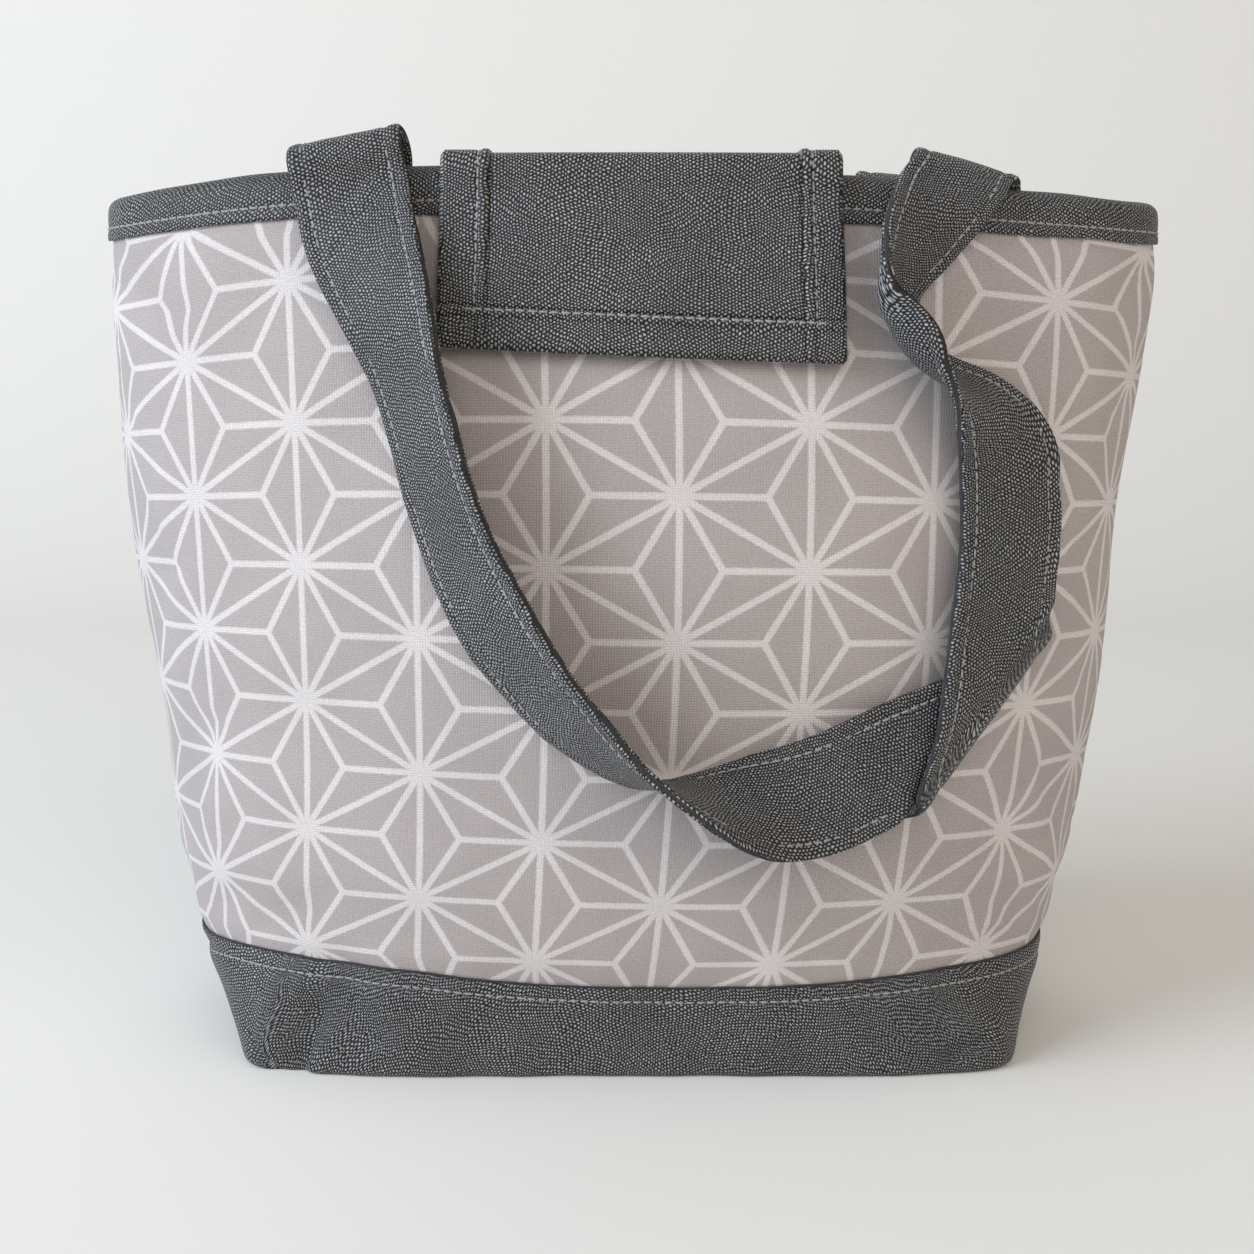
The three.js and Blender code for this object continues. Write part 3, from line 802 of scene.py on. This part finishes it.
def floor_lining():
    """The padded floor inside, a little crowned."""
    sides, angles = ring_angles(FLOOR_STATIONS, 15)
    rim = ring_wall(sides, angles, 8, -INSIDE_FACE + 1.2) * (1, 1, 0)
    low = [(0, 0), (0.25, 0), (0.5, 0), (0.75, 0), (0.9, 0), (1, 0.05), (1, 0.3)]
    high = [(share, 0.5 + 0.9 * (1 - share**2)) for share in (0.97, 0.9, 0.75, 0.5, 0.25, 0)]
    points = np.stack([rim * share + (0, 0, FLOOR_FACE - 0.2 + rise) for share, rise in low + high], 1)
    ring_sheet("floor_inside", "base_lining", points, closed(points)[..., :2], LINING_CLOTH, "lining")


# The closing flap

def rounded_path(corners, bend, count):
    """A path through corners [corner, yz], rounded where it turns, and evenly spaced."""
    t = np.linspace(0, 1, 9)[:, None]
    bends = []
    for before, corner, after in zip(corners, corners[1:], corners[2:]):
        start, end = (corner + unit(other - corner) * bend for other in (before, after))
        bends.append((1 - t) ** 2 * start + 2 * t * (1 - t) * corner + t**2 * end)
    path = np.concatenate([corners[:1], *bends, corners[-1:]])
    at = runs(path[None], 1)[0]
    return sample(path, at, np.linspace(0, at[-1], count))


# Distances inside a hem's cut edge at which it has points, closer together at that edge and at its stitches
HEM_SPOTS = np.array([
    4.2, 3.7, 3.35, 3.1, 2.85, 2.6, 2.3, 1.9, 1.4, 0.9, 0.5, 0.35, 0.2, 0.05, -0.1, -0.25, -0.4, -0.6, -0.9,
])


def hem_spots(hem):
    return np.concatenate([np.linspace(0, hem - 5, 7), hem - HEM_SPOTS])


def flap_columns():
    """Columns across the flap, as (distance from the left edge, share of the width that is added)."""
    left, right = (hem_spots(hem) for hem in FLAP_HEMS)
    shares = np.linspace(0, 1, 62)[1:-1]
    middle = left[-1] - shares * (left[-1] + right[-1])
    added = np.concatenate([left, middle, -right[::-1]])
    return added, np.concatenate([0 * left, shares, 0 * right + 1])


def flap_front_path(x, foot, count):
    """The flap's middle face in (y, z) at one x: from the middle of the mouth over the rim to its foot."""
    rim = -wall_at(FRONT, x, RIM_LEVEL)[1]
    heights = np.linspace(FLAP_RISE - FLAP_BEND * 2, foot, 9)
    levels = heights + (BODY_HEIGHT - smooth_curve(x, RIM_LINE)) * (heights / BODY_HEIGHT) ** 3
    stand = 2.0 + 1.4 * smooth_step(245, 225, heights)
    hang = np.stack([wall_at(FRONT, x, np.minimum(levels, BODY_HEIGHT))[:, 1] - stand, heights], -1)
    corners = np.concatenate([[(0, FLAP_RISE - FLAP_SAG), (-rim - FLAP_STAND, FLAP_RISE)], hang])
    path = np.concatenate([rounded_path(corners[:3], FLAP_BEND, 60), corners[3:]])
    at = runs(path[None], 1)[0]
    spots = hem_spots(FLAP_FOOT_HEM)[::-1]
    return sample(path, at, np.concatenate([np.linspace(0, at[-1] - spots[0], count)[:-1], at[-1] - spots]))


def flap_back_path(x, count):
    rim = wall_at(BACK, x, RIM_LEVEL)[1]
    foot = wall_at(BACK, x, FLAP_ROOT)[1]
    corners = [(0, FLAP_RISE - FLAP_SAG), (rim + FLAP_STAND, FLAP_RISE), (foot + FLAP_STAND, FLAP_ROOT)]
    return rounded_path(np.array(corners, float), FLAP_BEND, count)


def ply_edge(distance):
    """A hem's relief at a distance inside its cut edge: its rise, and the roll and grooves on it."""
    rise = HEM_RISE * smooth_step(0, 0.5, distance)
    roll = 0.35 * np.sin(math.pi * np.clip(distance / FLAP_STITCH_INSET, 0, 1))
    groove = HEM_GROOVE * hill(distance + 0.15, 0.3)
    seam = 0.4 * hill(distance - FLAP_STITCH_INSET, 0.6)
    return rise, roll - groove - seam


def flap_middle(front):
    """The middle face of one half of the flap [along, across, xyz], from the mouth's middle to its end."""
    added, shares = flap_columns()
    top, foot = (left + added + (right - left) * shares for left, right in (FLAP_TOP_SIDES, FLAP_FOOT_SIDES))
    (from_x, left), (to_x, right) = FLAP_FOOT_LINE
    feet = left + (right - left) * (top - from_x) / (to_x - from_x)
    paths = [flap_front_path(x, z, 100) if front else flap_back_path(x, 100) for x, z in zip(top, feet)]
    paths = np.stack(paths, 1)
    fall = smooth_step(FLAP_RISE, 205, paths[..., 1]) if front else 0
    x = top + (foot - top) * fall + 0 * paths[..., 1]
    return np.concatenate([x[..., None], paths], -1)


def flap_half(front):
    """One half of the flap's cloth with its hems, from the middle of the mouth to its foot or root."""
    way = 1 if front else -1
    middle = flap_middle(front)
    width, length = runs(middle, 1), runs(middle, 0)
    from_foot = length[-1:] - length
    hems = [FLAP_HEMS[0] - width, FLAP_HEMS[1] - (width[:, -1:] - width)]
    if front:
        hems.append(FLAP_FOOT_HEM - from_foot)
    rises, rolls = zip(*[ply_edge(hem) for hem in hems])
    outer_rise = FLAP_CLOTH / 2 + np.max(rises, 0) + sum(rolls)
    for k, hem in enumerate(hems):
        run = width if k == 2 else length
        outer_rise += 0.14 * waves(run, 0, 9, 47 + k) * hill(hem - FLAP_STITCH_INSET, 2.5)
    close = np.sqrt(np.clip(1 - (1 - np.clip(from_foot / 1.2, 0, 1)) ** 2, 0.02, 1))
    x = middle[..., 0]
    ripple = 0.12 * waves(x, length, 14, 41) + 0.25 * waves(x, length, 40, 43)
    middle[..., 1] -= ripple * way * smooth_step(0, 20, length)
    normal = unit(np.cross(np.gradient(middle, axis=0), np.gradient(middle, axis=1))) * way
    outer = middle + normal * (outer_rise * close)[..., None]
    inner = middle - normal * (FLAP_CLOTH / 2 * close)[..., None]
    uv = np.stack([width, length * way], -1)
    return outer, inner, normal, uv, width, length


def pick_row(grid, at, where):
    """A line of points over a grid where a measure along its second axis reaches a value at each station."""
    return np.stack([sample(row, measure, spot) for row, measure, spot in zip(grid, at, where)])


FLAP_BLENDS = {
    "front": ("flap", "tongue", (0, -46, 260), (0, -54, 250)),
    "rear": ("bag_body", "flap", (0, 56, 250), (0, 46, 260)),
}


def blend_mm(piece, a, b, start, end):
    tuple(MM * c for c in start)
    tuple(MM * c for c in end)
    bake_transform(piece)


def flap():
    for name, nodes in (("front", ("flap_tongue", "flap_bridge")), ("rear", ("flap_root",))):
        front = name == "front"
        outer, inner, normal, uv, width, length = flap_half(front)
        cloth = sheet(f"flap_{name}", outer, inner, uv, CANVAS_CLOTH, "canvas")
        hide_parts(*nodes)
        blend_mm(cloth, *FLAP_BLENDS[name])
        left = np.full(len(width), FLAP_HEMS[0] - FLAP_STITCH_INSET)
        right = width[:, -1] - FLAP_HEMS[1] + FLAP_STITCH_INSET
        along = slice(2, -12 if front else None)
        foot = length[-1] - (FLAP_FOOT_HEM - 1 if front else 3)
        turned, faced = outer.transpose(1, 0, 2), normal.transpose(1, 0, 2)
        seams = [
            ("left", outer, normal, width, left, left, along),
            ("right", outer, normal, width, right, right, along),
            ("foot", turned, faced, length.T, foot, foot, slice(5, -5)),
            ("upper", turned, faced, length.T, length[-1] - 12, foot, slice(5, -5)),
        ][: 3 if front else 4]
        for seam, points, normals, at, where, facing, part in seams:
            path = pick_row(points, at, where)[part]
            row = stitches(f"flap_{name}_{seam}_stitches", path, pick_row(normals, at, facing)[part])
            blend_mm(row, *FLAP_BLENDS[name])


def closure_patches():
    x, level = np.meshgrid(np.linspace(*PATCH_SIDES, 40), np.linspace(*PATCH_LEVELS, 16))
    for name, near, far, body in (("loop_patch", -1.1, 0.35, "bag_body"), ("hook_patch", 0.5, 1.9, "tongue")):
        outer = wall_at(FRONT, x, level, far)
        inner = wall_at(FRONT, x, level, near)
        piece = sheet(f"{name}_cloth", outer, inner, np.stack([x, level], -1), CLOSURE, "closure")
        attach(piece, body)
        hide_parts(name)


# The handles

# Stations of the straps from the left rim to the right one. The first three numbers are the distance from
# the middle, the stand-off from the wall and the drop below the rim. The next three lead from edge to edge,
# to the right, inward and down, for more than the strap's width where it slants at the fold. A last one is
# its curl. The back route is its right half, which is mirrored.
FRONT_ROUTE = [
    (-76.7, -6.6, -3.6, -32, 1, 1), (-77.5, 0.3, -7.2, -31, 5, 5), (-78, 5.9, -5.5, -31, 5, 6),
    (-76.8, 6, 1.4, -31, 4, 7), (-73.7, 7.3, 15.4, -30, 5, 11), (-68.4, 10.3, 29.4, -25, 10, 17),
    (-63.6, 13, 40.7, -21, 17, 17), (-55.2, 15.2, 68.6, -17, 24, 12), (-43.9, 15, 102.6, -18, 23, 12),
    (-23.2, 14.2, 136.7, -15, 25, 14), (-7.3, 15.3, 152.7, -8, 28, 13), (8.9, 17.5, 162.4, -2, 31, 6),
    (24.5, 17, 166.2, -1, 29, -12), (36.6, 14, 168.1, 1, 19, -25), (50.6, 11.1, 167.1, 1, 10, -32),
    (65, 8.8, 162.6, 5, 9, -36), (75.2, 7.9, 158.9, 12, 11, -38), (85.7, 6.7, 154.9, 26, 17, -42),
    (94.4, 5.3, 151.9, 38, 25, -45), (97.9, 7.2, 150.3, 39, 26, -45), (97.4, 9.4, 146.2, 38, 26, -45),
    (98.7, 9, 140.9, 38, 27, -44), (100.4, 8.2, 133.7, 36, 28, -40), (102.1, 7, 125.2, 35, 28, -36),
    (103.3, 5.8, 114.3, 34, 26, -31), (104.2, 5.3, 103.2, 32, 22, -23), (104.8, 4.7, 91.2, 29, 18, -15),
    (104.6, 4.9, 79.1, 29, 17, -6), (101.7, 7.3, 67.7, 26, 19, -3, -0.2),
    (97.2, 10.3, 59.1, 21, 24, -1, -0.8), (90.3, 12.5, 51.3, 15, 28, 3, -1.6),
    (82.9, 13.5, 43.7, 6, 29, 10, -2.2), (77.4, 13.5, 37.1, 8, 29, 10, -2.2),
    (73.8, 13.5, 31.3, 11, 29, 7, -1.8), (75.8, 12.5, 24, 18, 25, 6, -1.1),
    (79.5, 11.6, 15.7, 23, 20, 8, -0.6), (84.8, 8.5, 6.5, 28, 14, 7, -0.2), (89.6, 3.1, -1.1, 29, 9, 7),
    (92.3, -1.1, -4.6, 28, 8, 8), (93.5, -8, -3.4, 31, 0, 6),
]
BACK_HALF_ROUTE = [
    (86, -10, -1, 31, 1, 2), (86, -2, -2.6, 31, 2, 3), (86, 3, 0, 31, 5, 3), (86, 3, 10, 31, 6, 2),
    (84, 4, 32, 31, 10, 2), (81, 7, 57, 30, 15, 3), (74, 9, 86, 28, 17, 2), (64, 11, 115, 26, 17, 11),
    (46, 10, 142, 19, 16, 21), (23, 9, 159, 10, 14, 28), (0, 8, 164, 0, 13, 30),
]


def spline(points, spacing):
    """A natural cubic spline through points [n, values], sampled evenly along its chords."""
    at = runs(points[None, :, :3], 1)[0]
    n = len(points)
    h = np.diff(at)
    system = np.eye(n)
    right = np.zeros_like(points)
    for i in range(1, n - 1):
        system[i, i - 1 : i + 2] = h[i - 1], 2 * (h[i - 1] + h[i]), h[i]
        right[i] = 6 * ((points[i + 1] - points[i]) / h[i] - (points[i] - points[i - 1]) / h[i - 1])
    bend = np.linalg.solve(system, right)
    want = np.linspace(0, at[-1], int(at[-1] / spacing))
    i = np.clip(np.searchsorted(at, want) - 1, 0, n - 2)
    a, b = (at[i + 1] - want)[:, None], (want - at[i])[:, None]
    hi = h[i][:, None]
    curve = (bend[i] * a**3 + bend[i + 1] * b**3) / (6 * hi)
    return curve + (points[i] / hi - bend[i] * hi / 6) * a + (points[i + 1] / hi - bend[i + 1] * hi / 6) * b


def sewn_tail(side, across, way):
    """Stations of a strap's tail on the inner face of the wall, from the rim down."""
    seat = INSIDE_FACE + 0.7 + HANDLE_CLOTH / 2
    for drop in (4, 14, 24, HANDLE_TAIL):
        point, first, last = (wall_at(side, across + far, BODY_HEIGHT - drop, -seat) for far in (0, -3, 3))
        yield point, unit(last - first) * way, 0


def strap_station(side, across, standoff, drop, right, inward, down, curl=0):
    """A strap's middle, its direction across and its curl in radians, from a row of its route."""
    point = wall_at(side, across, BODY_HEIGHT - max(drop, 0), standoff)
    point[2] -= min(drop, 0)
    return point, np.array([right, -side * inward, -down], float) / HANDLE_WIDTH, curl


def handle_stations(side, route):
    """Middles, directions across the strap and curls of a handle's stations, with its sewn tails."""
    stations = [strap_station(side, *row) for row in route]
    ends = [(point[0], np.sign(lean[0])) for point, lean, _ in (stations[0], stations[-1])]
    first, last = (list(sewn_tail(side, *end)) for end in ends)
    middles, leans, curls = zip(*(first[::-1] + stations + last))
    return np.array(middles), np.array(leans), np.array(curls, float)


def strap_sections(side, route):
    """A strap's stations, as middles, directions across, normals of its face and curls, and its slants."""
    middles, leans, curls = handle_stations(side, route)
    spans = np.linalg.norm(leans, axis=1, keepdims=True)
    curve = spline(np.concatenate([middles, leans, spans, curls[:, None]], 1), 1.4)
    middle, lean, span, curl = curve[:, :3], curve[:, 3:6], curve[:, 6:7], curve[:, 7]
    lean = unit(lean) * span
    forward = unit(np.gradient(middle, axis=0))
    return (middle, lean, unit(np.cross(lean, forward)), curl), np.sum(lean * forward, 1)


def strap_points(stations, across, height):
    """Points at a distance across the strap and a height over its middle face, and directions out of it."""
    middle, lean, normal, curl = (part[:, None] for part in stations)
    curl = np.where(np.abs(curl) < 0.01, 0.01, curl)
    radius = HANDLE_WIDTH / curl
    turn = across / radius
    out = normal * np.cos(turn)[..., None] + lean * np.sin(turn)[..., None]
    flat = lean * (radius * np.sin(turn))[..., None]
    bulge = normal * (radius * (np.cos(turn) - np.cos(curl / 2)))[..., None]
    return middle + flat + bulge + out * np.asarray(height)[..., None], out


def strap_outline():
    """The strap's section, as (across, height): two faces with stitch valleys, and edges with a ply line."""
    half, thick = HANDLE_WIDTH / 2, HANDLE_CLOTH / 2
    across = np.linspace(-half + 0.5, half - 0.5, 33)
    inset = half - np.abs(across)
    face = thick - 0.35 * hill(inset - HANDLE_STITCH_INSET, 0.8)
    face += 0.2 * np.sin(math.pi * np.clip(inset / HANDLE_STITCH_INSET, 0, 1))
    edge = [(half - 0.1, thick * 0.82), (half + 0.12, thick * 0.5), (half - 0.4, 0.0)]
    edge += [(a, -h) for a, h in edge[1::-1]]
    outline = list(zip(across, face)) + edge
    outline += [(-a, -h) for a, h in outline]
    return np.array(outline)


def rim_hinge(side, seam, square):
    """Start and end of a stretch over the rim, outward from a strap's seam,
    and square to the wall there, or else straight to the front or back."""
    beside = wall_at(side, seam[0] + 3, RIM_LEVEL) - wall_at(side, seam[0] - 3, RIM_LEVEL)
    out = np.array([-beside[1] * square, beside[0], 0.0])
    out *= np.sign(out[1] * side) / np.linalg.norm(out)
    start = HANDLE_CLOTH / 2 + (0 if square else SEAM_SKEW)
    return seam + out * start, seam + out * (RIM_BEND + HANDLE_CLOTH / 2)


def strap(name, side, route, join, square):
    """A strap in four pieces: two sewn tails, and two halves that meet at a share of its length."""
    stations, slant = strap_sections(side, route)
    across, height = strap_outline().T
    at = runs(stations[0][None], 1)[0]
    ripple = 0.45 * waves(at[:, None], across, 28, 51) + 0.12 * waves(at[:, None], across, 7, 53)
    sections, _ = strap_points(stations, across, height + ripple)
    along = at[:, None] + across * slant[:, None]
    uv = np.stack(np.broadcast_arrays(across * np.sign(height), along), -1)
    sewn, half, last = int(np.searchsorted(at, HANDLE_SEWN)), int(len(at) * join), len(at) - 1
    parts = (
        ("first_tail", [f"{name}_handle_left_end"], 0, sewn, sewn),
        ("first", [f"{name}_handle"], sewn, half, sewn),
        ("last", [], half, last - sewn, last - sewn),
        ("last_tail", [f"{name}_handle_right_end"], last - sewn, last, last - sewn),
    )
    for part, nodes, low, high, seam in parts:
        rows = slice(low, high + 1)
        pieces = [tube(f"{name}_strap_{part}", sections[rows], uv[rows], CANVAS_CLOTH, "canvas")]
        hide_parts(*nodes)
        inset = np.full((high + 1 - low, 1), HANDLE_WIDTH / 2 - HANDLE_STITCH_INSET)
        for row, (edge, face) in enumerate([(-1, -1), (-1, 1), (1, -1), (1, 1)]):
            rise = 0 * inset + face * (HANDLE_CLOTH / 2 - 0.3)
            path, out = strap_points([values[rows] for values in stations], edge * inset, rise)
            pieces.append(stitches(f"{name}_strap_{part}_stitches_{row}", path[:, 0], out[:, 0] * face))
        for moved in pieces:
            if part.endswith("tail"):
                on_body(moved)
            else:
                hinge = rim_hinge(side, stations[0][seam], square[part == "last"])
                blend_mm(moved, "bag_body", f"{name}_handle", *hinge)


def handles():
    strap("front", FRONT, FRONT_ROUTE, FRONT_JOIN, (False, True))
    left = [(-row[0], *row[1:3], -row[3], *row[4:]) for row in BACK_HALF_ROUTE[:-1]]
    strap("back", BACK, left + BACK_HALF_ROUTE[::-1], 1 / 2, (True, True))


# Flat sizes of the cloth pieces as they are cut: width and length, the area of a cut that isn't a rectangle,
# how the piece is held and what it rests on
CUTS = {
    "front_print": ((357, 236), 80300, "stretched", ["front_padding"]),
    "back_print": ((357, 236), 80300, "stretched", ["back_padding"]),
    "front_inside": ((339, 244), 80000, "stretched", ["front_padding"]),
    "back_inside": ((339, 244), 80000, "stretched", ["back_padding"]),
    "left_tape": ((24, 233), 5150, "stretched", ["front_inside", "back_inside"]),
    "right_tape": ((24, 233), 5060, "stretched", ["front_inside", "back_inside"]),
    "floor_inside": ((221, 106.5), 22340, "laid", ["base_foam"]),
    "base_band": ((295, 182), 45500, "folded", ["base_board"]),
    "binding": ((690, 27.5), None, "folded", ["front_print", "back_print"]),
    "flap_front": ((109.5, 109.5), None, "draped", ["binding"]),
    "flap_rear": ((108, 81), None, "draped", ["binding"]),
    "loop_patch_cloth": ((60, 20), None, "laid", ["front_print"]),
    "hook_patch_cloth": ((60, 20), None, "laid", ["flap_front"]),
}


# Stage, lights and camera

def stage():
    """A plain floor that curves up into a wall. Its sizes are in metres."""
    turns = np.linspace(0, math.pi / 2, 17)
    profile = [(-1.6, 0), *zip(0.7 + 0.5 * np.sin(turns), 0.5 - 0.5 * np.cos(turns)), (1.2, 2.6)]
    points = [(x, y, z) for x in (-3, 3) for y, z in profile]
    count = len(profile)
    faces = [[k, k + 1, count + k + 1, count + k] for k in range(count - 1)]
    mesh = bpy.data.meshes.new("backdrop")
    mesh.from_pydata(points, [], faces)
    mesh.shade_smooth()
    n = Nodes("backdrop", 0.9, 0, 0.5)
    n.put(n.shader.inputs["Base Color"], (0.8, 0.785, 0.75, 1))
    mesh.materials.append(n.material)
    floor = placed_object("backdrop", mesh)


# Lamps, as (name, place, size, power, colour), and the camera: metres, millimetres of lens, and degrees
LAMP_AIM = (0, 0, 0.12)
LAMPS = [
    ("window", (-1.65, -0.85, 1.0), 1.3, 43, (0.76, 0.87, 1.0)),
    ("front", (0.2, -2.2, 1.5), 1.6, 16.5, (1.0, 0.93, 0.85)),
    ("fill", (1.4, -1.3, 0.9), 1.2, 6, (1.0, 0.78, 0.56)),
]
CAMERA_PLACE = (-0.0009, -0.6401, 0.2345)
CAMERA_TILT = 80
CAMERA_LENS, CAMERA_SENSOR = 61.2, 36


def lights():
    for name, place, size, power, colour in LAMPS:
        data = bpy.data.lights.new(name, "AREA")
        data.size = size
        data.energy = power
        data.color = colour
        light = placed_object(name, data)
        light.location = place
        aim = Vector(LAMP_AIM) - Vector(place)
        light.rotation_euler = aim.to_track_quat("-Z", "Y").to_euler()
    world = bpy.data.worlds.new("room")
    world.use_nodes = True
    background = world.node_tree.nodes["Background"]
    background.inputs["Color"].default_value = (1.0, 0.99, 0.97, 1)
    background.inputs["Strength"].default_value = 0.4
    bpy.context.scene.world = world


def camera():
    data = bpy.data.cameras.new("camera")
    data.sensor_width = CAMERA_SENSOR
    data.lens = CAMERA_LENS
    camera_object = placed_object("camera", data)
    camera_object.location = CAMERA_PLACE
    camera_object.rotation_euler = (math.radians(CAMERA_TILT), 0, 0)
    bpy.context.scene.camera = camera_object


camera()
lights()
stage()
settle(FRONT)
settle(BACK)
body_walls()
base_band()
rim_binding()
seam_tape("right_tape", "right_seam_tape", 0)
seam_tape("left_tape", "left_seam_tape", math.pi)
floor_lining()
flap()
closure_patches()
handles()

for piece_name, (cut, cut_area, held, rests_on) in CUTS.items():
    [MM * c for c in cut]
    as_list(rests_on)

for node_name, look in (("base_board", BOARD), ("base_foam", FOAM)):
    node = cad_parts[node_name]
    for place in node.material_slots:
        place.material = look

bpy.context.scene.view_settings.view_transform = "Standard"
